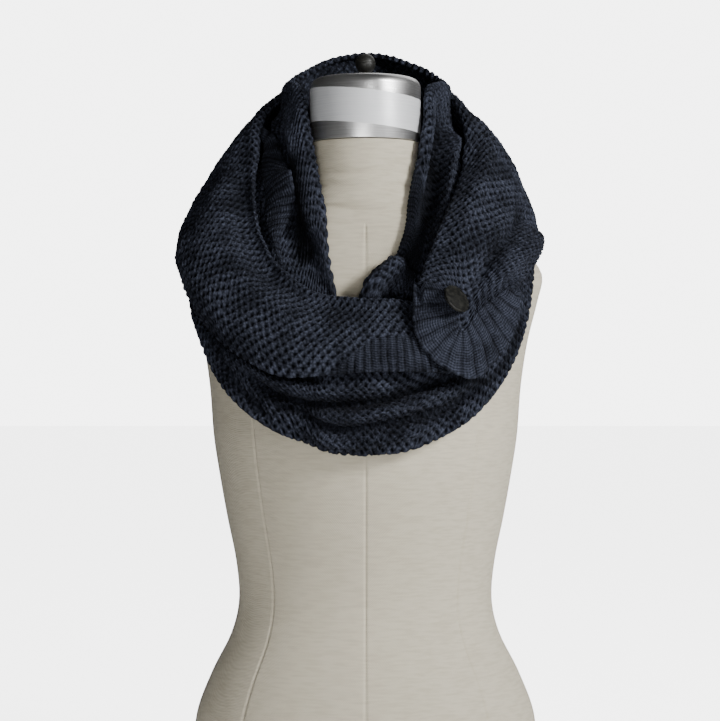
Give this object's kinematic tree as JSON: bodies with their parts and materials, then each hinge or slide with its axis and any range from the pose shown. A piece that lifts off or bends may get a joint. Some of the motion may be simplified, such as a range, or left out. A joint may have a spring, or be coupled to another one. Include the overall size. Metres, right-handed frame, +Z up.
{
  "type": "convertible scarf on a dress form",
  "caption": "Chunky knitted wrap scarf wound twice round a limbless dress form, its ribbed ends lapped at the front and closed with a round horn button.",
  "frame": {"origin": "middle of the dress form's flat underside", "axes": "+Z up the form, -Y to the form's front, +X to the side of the button, which is the right side seen from the front"},
  "size_m": [0.3774, 0.3123, 0.7913],
  "materials": {
    "navy_knit": "chunky open knit, matt",
    "navy_rib": "ribbed knit, matt",
    "horn": "streaked horn, satin",
    "canvas": "plain canvas over a hard form",
    "brushed_cap": "brushed",
    "brass": "polished",
    "dark_knob": "satin"
  },
  "bodies": {
    "root": {"first_turn_collar_left": "navy_knit", "first_turn_inner_roll": "navy_knit", "first_turn_inner_band": "navy_rib", "first_turn_collar_front": "navy_knit", "first_turn_collar_right": "navy_knit", "first_turn_lower_wrap": "navy_knit", "edge_band_left": "navy_rib", "second_turn_left_drape": "navy_knit", "second_turn_back": "navy_knit", "second_turn_right_lap": "navy_knit", "end_band_under": "navy_rib", "end_band_front": "navy_rib", "button": "horn", "form_body": "canvas", "neck_cap": "brushed_cap", "knob_stem": "brass", "cap_knob": "dark_knob"}
  },
  "joints": []
}
